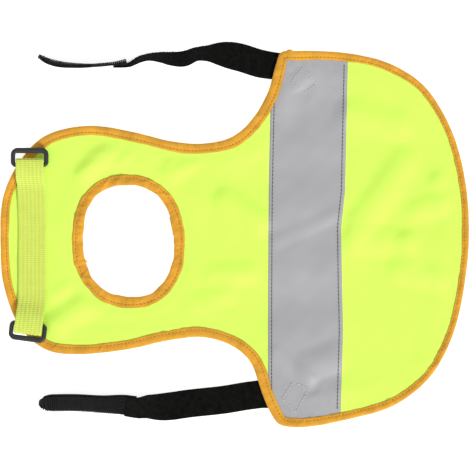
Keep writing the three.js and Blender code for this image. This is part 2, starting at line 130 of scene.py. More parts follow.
# %% The neck hole
NECK_X, NECK_Y, NECK_HALF_LENGTH, NECK_HALF_WIDTH = 85.3, -0.9, 30.4, 37.3
NECK_SQUARENESS, NECK_LEAN, NECK_HEM = 2.3, 0.055, 7.1
NECK_STEPS, NECK_POINTS = 720, 420


def squared(value, power):
    """Bends the sine or cosine of a circle towards a square's."""
    return np.sign(value) * np.abs(value) ** power


turn = np.arange(NECK_STEPS) / NECK_STEPS * 2 * math.pi
neck_x = NECK_HALF_LENGTH * squared(np.cos(turn), 2 / NECK_SQUARENESS)
neck_y = NECK_HALF_WIDTH * squared(np.sin(turn), 2 / NECK_SQUARENESS) - NECK_LEAN * neck_x
neck = np.stack([NECK_X + neck_x, NECK_Y + neck_y, np.full(NECK_STEPS, NECK_HEM)], 1)
neck, NECK_LENGTH = even_loop(neck, NECK_POINTS)
neck_to_test = neck[::2]
print("the neck hole is", round(NECK_LENGTH), "mm round")

# %% [markdown]
# ## Heights
# Laid cloth isn't flat: it rises over the bindings under its edge and over the straps sewn beneath
# the saddle's front corners, and it keeps soft folds. The folds could be sculpted, or left to a
# cloth simulation. A table is used because each fold can be placed and read: the line it runs
# along, its height, and how far it reaches to each side. The band and its stitches ask for the same
# heights, so they lie on the cloth.

# %% Distances and folds
# from x, from y, to x, to y, height, reach
FOLDS = [
    (73.6, 63.0, 57.3, 43.1, 2.1, 11.0),
    (86.3, 58.0, 78.3, 49.0, 0.8, 6.0),
    (129.3, 56.5, 110.3, 41.1, 1.9, 10.5),
    (122.0, 60.0, 112.0, 52.0, 0.9, 5.0),
    (64.3, -38.5, 35.3, -58.2, 2.4, 12.0),
    (44.3, -31.0, 34.3, -38.0, 0.9, 7.0),
    (150.3, 26.0, 171.3, 12.0, 2.0, 12.0),
    (141.3, -24.0, 165.3, -22.0, 1.4, 11.0),
    (128.3, -44.0, 150.3, -36.0, 1.2, 11.0),
    (268.3, 51.0, 240.3, 11.0, 2.2, 14.0),
    (233.3, 84.0, 264.3, 77.0, 1.9, 14.0),
    (236.3, -1.0, 270.3, -2.0, 1.8, 13.0),
    (270.3, -2.0, 274.3, -12.0, 1.0, 10.0),
    (303.3, 26.5, 278.3, 19.5, 1.7, 11.0),
    (304.3, 45.0, 290.3, 38.0, 1.2, 9.0),
    (303.3, -29.9, 266.3, -19.9, 1.9, 12.0),
    (206.3, -84.0, 222.3, -78.0, 1.8, 13.0),
    (182.3, -76.0, 205.3, -95.0, 1.4, 8.0),
    (184.3, -1.0, 224.3, 17.0, 0.5, 7.0),
    (199.6, 117.8, 190.9, 109.8, -0.9, 3.2),
    (206.3, 102.5, 201.6, 96.5, -0.25, 6.0),
    (201.6, 96.5, 188.9, 94.5, -0.25, 6.0),
    (180.9, -75.5, 206.3, -97.5, -0.8, 8.0),
    (208.3, -97.5, 228.3, -92.2, -0.4, 7.0),
]
# where the saddle lies over a strap: x, y, and how far round there it is raised in full
OVER_STRAP = [(187, 115, 17), (187, -105, 21)]
STRAP_LIFT, STRAP_FADE = 1.5, 32.0
# how high the cloth stands by a binding, and between which distances from one that fades
EDGE_LIFT, EDGE_FADE = 1.3, (8.5, 24)
# between which distances cloth comes free, its height there, and how strong the folds are
FREED, CLEAR, FOLD_STRENGTH = (7.0, 20.0), 1.0, 1.4
# unevenness: height, scale and seed
PUCKER, PUCKER_FADE = (0.22, 7, 3), (8, 18)
LONG_DRIFT, SHORT_DRIFT = (0.8, 46, 5), (0.22, 17, 6)
# points measured at a time; waves in soft noise, and what their sum is divided by
CHUNK = 4000
WAVES, WAVE_SHARE = 9, 5


def segment_distance(xy, ax, ay, bx, by):
    """How far each point is from a straight line between two places."""
    run = np.array([bx - ax, by - ay])
    t = np.clip(((xy - (ax, ay)) @ run) / (run @ run), 0, 1)
    return np.linalg.norm(xy - (ax, ay) - t[:, None] * run, axis=1)


def loop_distance(xy, loop):
    """How far each point is from the nearest point of a loop, a chunk of points at a time."""
    found = np.empty(len(xy))
    for at in range(0, len(xy), CHUNK):
        part = xy[at:at + CHUNK]
        gap = (part[:, None, 0] - loop[None, :, 0]) ** 2 + (part[:, None, 1] - loop[None, :, 1]) ** 2
        found[at:at + CHUNK] = np.sqrt(gap.min(1))
    return found


def inside_loop(xy, loop):
    """Whether a line drawn from each point crosses the loop an odd number of times."""
    crossings = np.zeros(len(xy), int)
    nxt = np.roll(loop, -1, axis=0)
    for (ax, ay), (bx, by) in zip(loop[:, :2], nxt[:, :2]):
        if ay != by:
            spans = (ay > xy[:, 1]) != (by > xy[:, 1])
            crossings += spans & (xy[:, 0] < ax + (xy[:, 1] - ay) * (bx - ax) / (by - ay))
    return crossings % 2 == 1


def ease(value, low, high):
    """0 below low, 1 above high, and a smooth rise between."""
    t = np.clip((value - low) / (high - low), 0, 1)
    return t * t * (3 - 2 * t)


def strap_rise(xy):
    """How far the straps beneath lift the saddle."""
    rise = [STRAP_LIFT * (1 - ease(np.hypot(xy[:, 0] - x, xy[:, 1] - y), flat, flat + STRAP_FADE))
            for x, y, flat in OVER_STRAP]
    return np.maximum(*rise)


def soft_noise(xy, scale, seed):
    """A smooth uneven surface, mostly between -1 and 1, from crossed waves of about the same scale."""
    waves = np.random.RandomState(seed)
    total = np.zeros(len(xy))
    for _ in range(WAVES):
        angle, phase = waves.uniform(0, 2 * math.pi, 2)
        wave = 2 * math.pi / (scale * waves.uniform(0.7, 1.5))
        total += np.sin(xy[:, 0] * wave * math.cos(angle) + xy[:, 1] * wave * math.sin(angle) + phase)
    return total / WAVE_SHARE


def uneven(xy, height, scale, seed):
    return height * soft_noise(xy, scale, seed)


def cloth_under(xy):
    """The height of the cloth's underside, in millimetres."""
    near = np.minimum(loop_distance(xy, edge_to_measure), loop_distance(xy, neck))
    freed = ease(near, *FREED)
    folds = sum(height * (1 - np.minimum(1, segment_distance(xy, *line) / reach) ** 2) ** 2
                for *line, height, reach in FOLDS)
    pucker = uneven(xy, *PUCKER) * (1 - ease(near, *PUCKER_FADE))
    drift = (uneven(xy, *LONG_DRIFT) + uneven(xy, *SHORT_DRIFT)) * freed
    free_height = np.maximum(FOLD_STRENGTH * folds * freed + drift + CLEAR * freed, 0)
    lift = EDGE_LIFT * (1 - ease(near, *EDGE_FADE)) + free_height
    return strap_rise(xy) + lift + pucker


print("folds:", len(FOLDS))

# %% [markdown]
# ## Making meshes
# Most pieces here are skins of quads over a grid of points: rails swept along an edge, or a sheet
# over a patch. Curves and modifiers could sweep them too, but a grid keeps the height of every point
# in hand. Small repeated things, such as stitches, could be instances; here each kind is one joined
# mesh, so that it stays one piece.

# %% Mesh helpers
def to_frame(points):
    """Drawing millimetres to frame metres."""
    out = np.array(points, float)
    out[..., :2] += SHIFT
    return out * MM


def make_piece(name, points, faces, material, body="vest"):
    """A smooth-shaded piece of the named body, with one finish."""
    mesh = bpy.data.meshes.new(name)
    corners = np.asarray(faces, dtype=object).tolist()
    mesh.from_pydata([tuple(p) for p in np.asarray(points).tolist()], [], corners)
    mesh.validate()
    mesh.polygons.foreach_set("use_smooth", np.ones(len(mesh.polygons), bool))
    piece = bpy.data.objects.new(name, mesh)
    bpy.context.collection.objects.link(piece)
    mesh.materials.append(material)
    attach(piece, body)
    print(name, "has", len(mesh.vertices), "points and", len(mesh.polygons), "faces")
    return piece


def grid_faces(rows, columns, close_rows=False, close_columns=False):
    """Quads between the points of a grid, which may close on itself either way."""
    i = np.arange(rows if close_rows else rows - 1)
    j = np.arange(columns if close_columns else columns - 1)
    i, j = np.meshgrid(i, j, indexing="ij")
    a = i * columns + j
    b = i * columns + (j + 1) % columns
    c = ((i + 1) % rows) * columns + (j + 1) % columns
    d = ((i + 1) % rows) * columns + j
    return np.stack([a, b, c, d], -1).reshape(-1, 4)


def thicken(piece, wall):
    """Gives a sheet its wall, on the side that its faces look to."""
    bpy.context.view_layer.objects.active = piece
    solid = piece.modifiers.new("wall", "SOLIDIFY")
    solid.thickness = wall
    solid.offset = 1.0
    solid.use_even_offset = False
    bpy.ops.object.select_all(action="DESELECT")
    piece.select_set(True)
    bpy.ops.object.modifier_apply(modifier="wall")


def tube_faces(rows, columns):
    """The faces of a tube of rows sections with columns points each, closed at both ends."""
    first = np.arange(columns)[::-1]
    last = (rows - 1) * columns + np.arange(columns)
    return grid_faces(rows, columns, close_columns=True).tolist() + [first.tolist(), last.tolist()]


def many_tubes(count, rows, columns):
    """The faces of many such tubes, whose points follow each other."""
    one = tube_faces(rows, columns)
    return [[v + at * rows * columns for v in face] for at in range(count) for face in one]


# %% Thread
# share of a stitch's length, how thick it is there, how far it is above or below its line
STITCH_SHAPE = [(0.0, 0.3, -1.0), (0.12, 0.8, -0.1), (0.35, 1.0, 1.0), (0.65, 1.0, 1.0),
                (0.88, 0.8, -0.1), (1.0, 0.3, -1.0)]
STITCH_ARCH, STITCH_SIDES = 0.5, 6


def thread(name, starts, ends, radius, material, slot):
    """One joined mesh of short stitches, each a thread that dips into the cloth at both ends."""
    stations, plump, rise = np.array(STITCH_SHAPE).T
    rise = rise * STITCH_ARCH
    run = ends - starts
    run /= np.linalg.norm(run, axis=1)[:, None]
    side = np.cross(run, (0.0, 0.0, 1.0))
    side /= np.linalg.norm(side, axis=1)[:, None]
    up = np.cross(side, run)
    angles = np.arange(STITCH_SIDES) / STITCH_SIDES * 2 * math.pi
    middle = starts[:, None] + (ends - starts)[:, None] * stations[None, :, None]
    middle = middle + up[:, None] * (rise * radius)[None, :, None]
    ring = (side[:, None, None] * np.cos(angles)[None, None, :, None]
            + up[:, None, None] * np.sin(angles)[None, None, :, None])
    points = middle[:, :, None] + ring * (plump * radius)[None, :, None, None]
    faces = many_tubes(len(starts), len(STITCH_SHAPE), STITCH_SIDES)
    return make_piece(name, points.reshape(-1, 3), faces, material)


# %% [markdown]
# ## Finishes
# Cloth, tape and plastic differ in colour, in how rough they are and in their grain. A painted
# picture could carry that, but it would blur close up. Every finish is built from nodes instead,
# with object coordinates so that it stays at its real scale: an uneven tone, and two crossed waves of
# fine bump for a weave. A number that is the same all over goes straight on the shader's own socket.

# %% Finish helpers
# Blender's wave texture repeats once in this many of its units, divided by its scale
WAVE_UNIT = 2 * math.pi / 20


def fine_noise(material, scale, detail=4.0):
    """Noise that stays in place on the piece."""
    noise = material.node_tree.nodes.new("ShaderNodeTexNoise")
    noise.inputs["Scale"].default_value = scale
    noise.inputs["Detail"].default_value = detail
    place = material.node_tree.nodes["place"].outputs["Object"]
    material.node_tree.links.new(place, noise.inputs["Vector"])
    return noise.outputs["Fac"]


def finish(name, color, rough, mottle=0.1, mottle_scale=60.0, sheen=0.0, specular=0.5):
    """A plain finish with an uneven tone."""
    material = bpy.data.materials.new(name)
    material.use_nodes = True
    nodes, links = material.node_tree.nodes, material.node_tree.links
    shader = nodes["Principled BSDF"]
    shader.inputs["Roughness"].default_value = rough
    shader.inputs["Sheen Weight"].default_value = sheen
    shader.inputs["Specular IOR Level"].default_value = specular
    nodes.new("ShaderNodeTexCoord").name = "place"
    tone = fine_noise(material, mottle_scale, 6.0)
    ramp = nodes.new("ShaderNodeValToRGB")
    ramp.color_ramp.elements[0].position = 0.3
    ramp.color_ramp.elements[1].position = 0.7
    ramp.color_ramp.elements[0].color = [c * (1 - mottle) for c in color] + [1]
    ramp.color_ramp.elements[1].color = [min(1.0, c * (1 + mottle)) for c in color] + [1]
    links.new(tone, ramp.inputs["Fac"])
    links.new(ramp.outputs["Color"], shader.inputs["Base Color"])
    return material


def add_bump(material, heights, strength, distance):
    """Adds the heights together and uses them as bump."""
    nodes, links = material.node_tree.nodes, material.node_tree.links
    total = heights[0]
    for more in heights[1:]:
        add = nodes.new("ShaderNodeMath")
        add.operation = "ADD"
        links.new(total, add.inputs[0])
        links.new(more, add.inputs[1])
        total = add.outputs[0]
    bump = nodes.new("ShaderNodeBump")
    bump.inputs["Strength"].default_value = strength
    bump.inputs["Distance"].default_value = distance
    links.new(total, bump.inputs["Height"])
    links.new(bump.outputs["Normal"], nodes["Principled BSDF"].inputs["Normal"])


def weave(material, pitch, angle=0.0, directions="XY"):
    """The heights of threads at a pitch in metres, in both directions or in one."""
    nodes, links = material.node_tree.nodes, material.node_tree.links
    mapping = nodes.new("ShaderNodeMapping")
    mapping.inputs["Rotation"].default_value[2] = angle
    links.new(nodes["place"].outputs["Object"], mapping.inputs["Vector"])
    heights = []
    for direction in directions:
        wave = nodes.new("ShaderNodeTexWave")
        wave.bands_direction = direction
        wave.inputs["Scale"].default_value = WAVE_UNIT / pitch
        wave.inputs["Distortion"].default_value = 0.6
        wave.inputs["Detail"].default_value = 1.0
        links.new(mapping.outputs["Vector"], wave.inputs["Vector"])
        heights.append(wave.outputs["Fac"])
    return heights


# %% Cloth finishes
cloth_finish = finish("fluorescent_cloth", (0.67, 0.98, 0.112), rough=0.7, mottle=0.03,
                      mottle_scale=18.0, sheen=0.1, specular=0.35)
add_bump(cloth_finish, weave(cloth_finish, 0.0007) + [fine_noise(cloth_finish, 900)],
         strength=0.25, distance=0.0002)
binding_finish = finish("orange_binding", (0.70, 0.335, 0.024), rough=0.75, mottle=0.16,
                        mottle_scale=90.0, sheen=0.15, specular=0.3)
BIAS = 0.78
add_bump(binding_finish, weave(binding_finish, 0.0006, BIAS) + [fine_noise(binding_finish, 700)],
         strength=0.4, distance=0.0002)
tape_finish = finish("reflective_grey", (0.36, 0.36, 0.37), rough=0.5, mottle=0.04,
                     mottle_scale=30.0, specular=0.6)
add_bump(tape_finish, [fine_noise(tape_finish, 2600), fine_noise(tape_finish, 150)],
         strength=0.18, distance=0.00015)
print("cloth finishes made")

# %% Webbing finish
webbing_finish = finish("pale_webbing", (0.60, 0.71, 0.115), rough=0.85, mottle=0.03,
                        mottle_scale=200.0, sheen=0.1, specular=0.3)
add_bump(webbing_finish, [fine_noise(webbing_finish, 1500)], strength=0.4, distance=0.0002)
WEFT_PITCH = 1.35
# painted shade and light: the webbing's colour is a little darker in bands between its picks and a little
# lighter on them, at the weft's pitch
nodes, links = webbing_finish.node_tree.nodes, webbing_finish.node_tree.links
base_color = nodes["Principled BSDF"].inputs["Base Color"]
weft_shade_and_light = nodes.new("ShaderNodeMapRange")
weft_shade_and_light.inputs["To Min"].default_value = 0.9
weft_shade_and_light.inputs["To Max"].default_value = 1.12
links.new(weave(webbing_finish, WEFT_PITCH * MM, directions="Y")[0], weft_shade_and_light.inputs["Value"])
darken = nodes.new("ShaderNodeVectorMath")
darken.operation = "SCALE"
links.new(base_color.links[0].from_socket, darken.inputs[0])
links.new(weft_shade_and_light.outputs["Result"], darken.inputs["Scale"])
links.new(darken.outputs["Vector"], base_color)
print("webbing finish made")

# %% Thread finishes
# the binding's thread is orange like the binding; its darker orange is partly painted shade of the needle
# holes it sinks into
edge_thread_finish = finish("orange_thread", (0.42, 0.18, 0.014), rough=0.6, mottle=0.2, mottle_scale=500.0)
tape_thread_finish = finish("dark_thread", (0.035, 0.035, 0.035), rough=0.7, mottle=0.3, mottle_scale=500.0)
box_thread_finish = finish("grey_thread", (0.62, 0.62, 0.64), rough=0.6, mottle=0.2, mottle_scale=500.0)
print("thread finishes made")

# %% Black finishes
ring_finish = finish("moulded_black", (0.018, 0.02, 0.022), rough=0.42, mottle=0.1,
                     mottle_scale=120.0, specular=0.45)
add_bump(ring_finish, [fine_noise(ring_finish, 1400)], strength=0.15, distance=0.0001)
loop_finish = finish("napped_black", (0.005, 0.005, 0.0046), rough=0.95, mottle=0.5,
                     mottle_scale=350.0, specular=0.08)
add_bump(loop_finish, [fine_noise(loop_finish, 900), fine_noise(loop_finish, 2200)],
         strength=0.9, distance=0.0004)
hook_finish = finish("hook_black", (0.006, 0.006, 0.0055), rough=0.6, mottle=0.2,
                     mottle_scale=300.0, specular=0.2)
add_bump(hook_finish, weave(hook_finish, 0.0008), strength=0.3, distance=0.0002)
print("black finishes made")

# %% [markdown]
# ## The cloth
# The saddle and bib are one thin sheet. It could be a flat outline that a cloth simulation drapes.
# A fine grid is lifted to the table's heights instead, since that puts the folds where they belong,
# and its stepped edge is hidden inside the bindings, as the raw edge of the real cloth is.

# %% Sheet over a patch
def sheet_over(name, x, y, keep, height, wall, material):
    """A sheet over a grid of drawing points, of the cells whose corners are all kept, and their count."""
    rows, columns = x.shape
    xy = np.stack([x.ravel(), y.ravel()], 1)
    faces = grid_faces(rows, columns)
    faces = faces[keep(xy)[faces].all(1)]
    used, index = np.unique(faces, return_inverse=True)
    xy = xy[used]
    points = to_frame(np.column_stack([xy, height(xy)]))
    piece = make_piece(name, points, index.reshape(-1, 4), material)
    thicken(piece, wall * MM)
    return piece, len(faces)


def in_vest(margin):
    """Tells which points lie on the panel, at least a margin from its edges."""
    def keep(xy):
        ok = inside_loop(xy, edge_to_test) & ~inside_loop(xy, neck_to_test)
        near = np.minimum(loop_distance(xy[ok], edge_to_measure), loop_distance(xy[ok], neck))
        ok[ok] = near > margin
        return ok
    return keep


# %% Saddle and bib
CLOTH_WALL, CLOTH_STEP, CLOTH_MARGIN = 0.35, 1.5, 2.2
# how far above the table's heights the cloth lies, and how much of that the band presses out
CLOTH_GAP, PRESSED = 0.25, 0.22
PRESSED_FRONT, PRESSED_REAR = (179.5, 181.5), (224.0, 226.0)
x, y = np.meshgrid(np.arange(0, 313, CLOTH_STEP), np.arange(-127, 128, CLOTH_STEP))


def cloth_height(xy):
    """The cloth's underside; where the band covers it, the two are pressed a little closer."""
    covered = ease(xy[:, 0], *PRESSED_FRONT) * (1 - ease(xy[:, 0], *PRESSED_REAR))
    return cloth_under(xy) + CLOTH_GAP - PRESSED * covered


cloth, cells = sheet_over("vest_cloth", x, y, in_vest(CLOTH_MARGIN), cloth_height, CLOTH_WALL,
                          cloth_finish)
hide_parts("body_panel")

# %% [markdown]
# ## The reflective band
# The band is 50 mm tape laid across the front of the saddle and stitched along both edges. It could
# be cut from the cloth's own grid, but that would leave its edges stepped. Its grid runs from edge to
# edge instead, and its ends run under the binding.

# %% Reflective band
# distance from the middle line, front edge, rear edge
BAND = np.array([(-130, 178.3, 226.3), (-60, 178.3, 228.3), (-30, 178.4, 227.6), (8, 178.6, 227.0),
                 (32, 178.8, 229.6), (64, 179.4, 230.3), (130, 181.0, 231.8)])
BAND_WALL, BAND_WIDTH, BAND_MARGIN, BAND_GAP = 0.3, 50, 3.0, 0.08
BAND_STEP, BAND_ROWS = 1.25, 40
v = np.arange(-128, 128.5, BAND_STEP)
front_edge = np.interp(v, BAND[:, 0], BAND[:, 1])
rear_edge = np.interp(v, BAND[:, 0], BAND[:, 2])
u = np.linspace(0, 1, BAND_ROWS + 1)
x = front_edge[None] + (rear_edge - front_edge)[None] * u[:, None]
y = np.repeat(v[None], len(u), 0)


def band_height(xy):
    return cloth_under(xy) + CLOTH_GAP + CLOTH_WALL + BAND_GAP


band, cells = sheet_over("reflective_band", x, y, in_vest(BAND_MARGIN), band_height, BAND_WALL,
                         tape_finish)
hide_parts("reflective_tape")

# %% Stitches on the band
BAND_PITCH, BAND_STITCH, BAND_INSET, BINDING_REACH = 2.5, 2.2, 2.4, 6.5
BOX_PITCH, BOX_SHARE = 2.3, 0.8
THREAD_GAP, THREAD_RADIUS = 0.03, 0.2
# The straps are sewn on under the band's ends, and their box stitching comes through it.
BOXES = [
    [(194.9, -94.9), (205.6, -98.9), (196.9, -114.9), (187.6, -106.2), (194.9, -94.9)],
    [(193.6, 105.1), (202.3, 97.8), (210.3, 103.8), (201.6, 114.8), (193.6, 105.1)],
]


def stitch_ends(places):
    """Where stitches between pairs of drawing points start and end, on top of the band."""
    heights = [band_height(xy) + BAND_WALL + THREAD_GAP for xy in places]
    pairs = np.array([np.column_stack([xy, z]) for xy, z in zip(places, heights)])
    return to_frame(pairs[:, 0]), to_frame(pairs[:, 1])


def band_stitches():
    places = []
    for line, inset in ((front_edge, BAND_INSET), (rear_edge, -BAND_INSET)):
        for at in np.arange(-123, 122, BAND_PITCH):
            reach = np.array([at, at + BAND_STITCH])
            xy = np.column_stack([np.interp(reach, v, line) + inset, reach])
            if in_vest(BINDING_REACH)(xy).all():
                places.append(xy)
    return stitch_ends(places)


def box_stitches():
    places = []
    for box in BOXES:
        for (ax, ay), (bx, by) in zip(box[:-1], box[1:]):
            count = int(math.hypot(bx - ax, by - ay) / BOX_PITCH)
            for i in range(count):
                share = np.array([i / count, (i + BOX_SHARE) / count])
                places.append(np.column_stack([ax + (bx - ax) * share, ay + (by - ay) * share]))
    return stitch_ends(places)


band_thread = thread("band_stitches", *band_stitches(), THREAD_RADIUS * MM, tape_thread_finish, "reflective")
box_thread = thread("box_stitches", *box_stitches(), THREAD_RADIUS * MM, box_thread_finish, "reflective")

# %% [markdown]
# ## The bindings
# A binding is a strip of cloth folded over the raw edge and stitched through. A round bevel on a
# curve could stand for it, but would look like a cord. Its section here is a soft C: between the
# stitches it swells, at the stitch line it dips, and short pleats cross it as if the strip was eased
# round a curve.

# %% Moved loops
# a moved point is sound while it is this share of its move from the loop, less a little
SOUND_SHARE, SOUND_SLACK = 0.97, 0.02


def inset_loop(loop, amount):
    """Each point moved to the left of the loop; where a corner would fold over, spread on the mitre."""
    back, ahead = np.roll(loop[:, :2], 1, 0), np.roll(loop[:, :2], -1, 0)
    run = ahead - back
    run /= np.linalg.norm(run, axis=1)[:, None]
    moved = loop[:, :2] + np.stack([-run[:, 1], run[:, 0]], 1) * amount[:, None]
    sound = loop_distance(moved, loop) >= np.abs(amount) * SOUND_SHARE - SOUND_SLACK
    at = np.flatnonzero(sound)
    if len(at) < len(loop):
        wrapped = np.concatenate([at - len(loop), at, at + len(loop)])
        values = np.vstack([moved[at]] * 3)
        moved = np.stack([np.interp(np.arange(len(loop)), wrapped, values[:, k]) for k in (0, 1)], 1)
    return moved

# %% Binding helpers
# share of the hem's width from the edge, height in millimetres: once round the C
BINDING_SECTION = [
    (0.97, 0.15), (0.6, 0.05), (0.25, 0.08), (0.05, 0.45), (0.0, 1.2), (0.0, 2.0), (0.05, 2.7),
    (0.15, 3.05), (0.3, 3.2), (0.45, 3.15), (0.55, 3.0), (0.63, 2.72), (0.70, 2.62), (0.77, 2.75),
    (0.86, 2.75), (0.95, 2.5), (1.0, 2.2), (0.96, 2.0), (0.6, 1.95), (0.3, 1.85), (0.3, 1.25),
    (0.6, 1.1), (0.95, 0.95), (1.0, 0.5),
]
STITCH_SHARE = 0.70
stitch_row = [share for share, _ in BINDING_SECTION].index(STITCH_SHARE)
# how uneven: the hem's width, the inner edge beyond this share, and the top's ripple
HEM_UNEVEN, INNER_UNEVEN, INNER_FROM, RIPPLE = 0.05, 0.018, 0.8, 0.14
# the outer edge's own waver fades out across the strip at this rate
OUTER_FADE = 1.6
# a pleat's lean, height and width each lie in a range; the lean is carried this far over the
# strip's width, and no pleat is deeper than the last number
PLEAT_LEAN, PLEAT_HEIGHT, PLEAT_WIDTH = (-1.2, 1.2), (-0.35, 0.45), (0.7, 2.2)
PLEAT_REACH, DEEPEST = 5, -0.3
# where the strip's ends lap it is wider and higher, with a short slope at each side
LAP_WIDER, LAP_HIGHER, LAP_SLOPE = 0.9, 0.45, 0.5
# pleats and laps begin at the first of these heights and show in full from the second
TOP_FROM, TOP_FULL = 1.9, 2.9


def wrap(gap, length):
    """A distance round a closed edge, taken the shorter way."""
    return (gap + length / 2) % length - length / 2


def lap_shape(along, length, laps):
    """1 where the strip's ends lap, 0 elsewhere."""
    lapped = np.zeros(len(along))
    for at, long in laps:
        gap = wrap(along - at, length)
        rise = ease(gap, -long / 2 - LAP_SLOPE, -long / 2)
        lapped = np.maximum(lapped, rise * (1 - ease(gap, long / 2, long / 2 + LAP_SLOPE)))
    return lapped


def binding(name, loop, length, side, replaced, pleats, seed, roughness, wobble, laps):
    """A binding swept round a loop, and the line that its stitches follow."""
    count = len(loop)
    along = np.arange(count) / count * length

    def waver(scale, seed, shift=0.0):
        return soft_noise(np.column_stack([along, along * 0 + shift]), scale, seed)

    chance = np.random.RandomState(seed)
    hem = loop[:, 2] * (1 + HEM_UNEVEN * waver(26, seed))
    pleat_at = chance.uniform(0, length, pleats)
    pleat_lean = chance.uniform(*PLEAT_LEAN, pleats) * roughness
    pleat_high = chance.uniform(*PLEAT_HEIGHT, pleats) * roughness
    pleat_wide = chance.uniform(*PLEAT_WIDTH, pleats)
    outer_waver = wobble * (0.6 * waver(11, seed + 3) + 0.5 * waver(22, seed + 4))
    lapped = lap_shape(along, length, laps)
    rails = []
    for share, z in BINDING_SECTION:
        outer_move = (outer_waver - LAP_WIDER * lapped) * max(0, 1 - share * OUTER_FADE)
        inner = INNER_UNEVEN * roughness * waver(9, seed + 1, share * 3) if share > INNER_FROM else 0
        xy = inset_loop(loop, side * (outer_move + share * hem * (1 + inner)))
        shape = np.zeros(count)
        for at, lean, high, wide in zip(pleat_at, pleat_lean, pleat_high, pleat_wide):
            gap = wrap(along - at - lean * share * PLEAT_REACH, length)
            shape += high * np.exp(-(gap / wide) ** 2)
        ripple = RIPPLE * roughness * waver(5, seed + 2, share * 6)
        top = ease(np.full(count, z), TOP_FROM, TOP_FULL)
        relief = (np.maximum(shape + ripple, DEEPEST) + LAP_HIGHER * lapped) * top
        rails.append(np.column_stack([xy, z + strap_rise(xy) + relief]))
    points = to_frame(np.stack(rails, 1))
    faces = grid_faces(count, len(BINDING_SECTION), True, True)
    if side < 0:
        faces = faces[:, ::-1]
    piece = make_piece(name, points.reshape(-1, 3), faces, binding_finish)
    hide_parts(replaced)
    return piece, points[:, stitch_row]


# %% Stitches along a line
EDGE_PITCH, EDGE_STITCH, EDGE_THREAD = 2.5 * MM, 1.7 * MM, 0.24 * MM


def line_stitches(name, line):
    """Stitches along a closed line of points."""
    closed = np.vstack([line, line[:1]])
    run = distance_along(closed)
    count = int(run[-1] / EDGE_PITCH)
    at = np.arange(count) / count * run[-1]
    starts, ends = (np.stack([np.interp((at + more) % run[-1], run, closed[:, k]) for k in range(3)], 1)
                    for more in (0, EDGE_STITCH))
    return thread(name, starts, ends, EDGE_THREAD, edge_thread_finish, "binding")


# %% Outer and neck bindings
# The strip's own ends meet near the saddle's right front corner.
SEAM_X, SEAM_Y = 192.9, 126.5
seam_at = np.argmin(np.hypot(edge[:, 0] - SEAM_X, edge[:, 1] - SEAM_Y)) / len(edge) * EDGE_LENGTH
outer, line = binding("outer_edge_binding", edge, EDGE_LENGTH, 1, "outer_binding", pleats=170,
                      seed=11, roughness=1.2, wobble=0.15, laps=[(seam_at, 2.4)])
outer_thread = line_stitches("outer_edge_stitches", line)
# Round the neck hole one lap is long and another is short.
neck_laps = [(NECK_LENGTH * 0.053, 12), (NECK_LENGTH * 0.57, 1.6)]
around_neck, line = binding("neck_hole_binding", neck, NECK_LENGTH, -1, "neck_binding", pleats=60,
                            seed=23, roughness=2.6, wobble=0.7, laps=neck_laps)
neck_thread = line_stitches("neck_hole_stitches", line)

# %% [markdown]
# ## Ribbons
# Webbing and straps are narrow goods of even width. A curve with a flat bevel could sweep them, but
# its twist is hard to steer. Here each is a path of sections, with a direction across at each, so
# it can lie flat, turn round a bar or stand on its edge.

# %% Sweeping a ribbon
# the ribbon's edges are thinned by this share, and only near the very edge
EDGE_THINNED, THINNED_POWER = 0.55, 14


def read_smoothly(places, rows, at):
    """Rows of numbers read between their places, on a smooth curve."""
    right = np.clip(np.searchsorted(places, at, side="right"), 1, len(places) - 1)
    left = right - 1
    slopes = np.gradient(rows, places, axis=0)
    gap = (places[right] - places[left])[:, None]
    t = ((at - places[left]) / gap[:, 0])[:, None]
    h = rows[left] * (2 * t ** 3 - 3 * t ** 2 + 1) + rows[right] * (3 * t ** 2 - 2 * t ** 3)
    return h + gap * (slopes[left] * (t ** 3 - 2 * t ** 2 + t) + slopes[right] * (t ** 3 - t ** 2))


def resample(rows, spacing):
    """Rows of numbers that start with x, y, z, at even distances, on a smooth curve."""
    rows = np.array(rows, float)
    run = distance_along(rows[:, :3])
    return read_smoothly(run, rows, np.linspace(0, run[-1], max(4, int(run[-1] / spacing))))


def unit_along(middle):
    along = np.gradient(middle, axis=0)
    return along / np.linalg.norm(along, axis=1)[:, None]


def ribbon(name, middle, across, width, wall, material, columns, relief=None, span=1.0):
    """A closed ribbon whose upper face may carry a relief(along, share) in millimetres."""
    count = len(middle)
    normal = np.cross(unit_along(middle), across)
    normal /= np.linalg.norm(normal, axis=1)[:, None]
    run = distance_along(middle)
    share = np.linspace(-1, 1, columns)
    thin = 1 - EDGE_THINNED * np.abs(share) ** THINNED_POWER
    rails = []
    for face in (1, -1):
        for q, thinned in zip(share[::face], thin[::face]):
            raised = relief(run, q) if relief and face == 1 else 0
            lift = (face * wall / 2 * thinned + raised) * np.ones(count)
            aside = (q * width / 2 * span * np.ones(count))[:, None]
            rails.append(middle + across * aside + normal * lift[:, None])
    points = np.stack(rails, 1)
    faces = tube_faces(count, 2 * columns)
    piece = make_piece(name, to_frame(points.reshape(-1, 3)), faces, material)
    return piece, normal, run


# %% [markdown]
# ## The chest webbing
# One strip of 19 mm webbing crosses the bib. Each end goes over a ring's inner bar, turns round it
# and lies back underneath. Its weave could be bump alone, but it is coarse enough to show at the
# edge, so it is real relief: ridges along it, crossed by the weft.

# %% Ring places and the webbing's path
BAR, SIDE_BAR, OUTER_BAR, SLOT = 2.6, 3.0, 3.7, 8.0
HEM_HEIGHT, GAP, PACKED_WALL = 3.6, 0.3, 1.0
BAR_LEVEL = HEM_HEIGHT + GAP + PACKED_WALL + GAP + BAR / 2
FOLD_RADIUS = (BAR + PACKED_WALL) / 2 + GAP
WEBBING_WIDTH, WEBBING_WALL = 18.6, 0.95
# x, y, heading, how far the fold reaches past the bar
RINGS = {"ring_right": (19.5, 49.6, 90.0, 4.6), "ring_left": (18.9, -56.1, -97.5, 7.0)}
TURN_STEPS, PATH_STEP = 13, 0.28


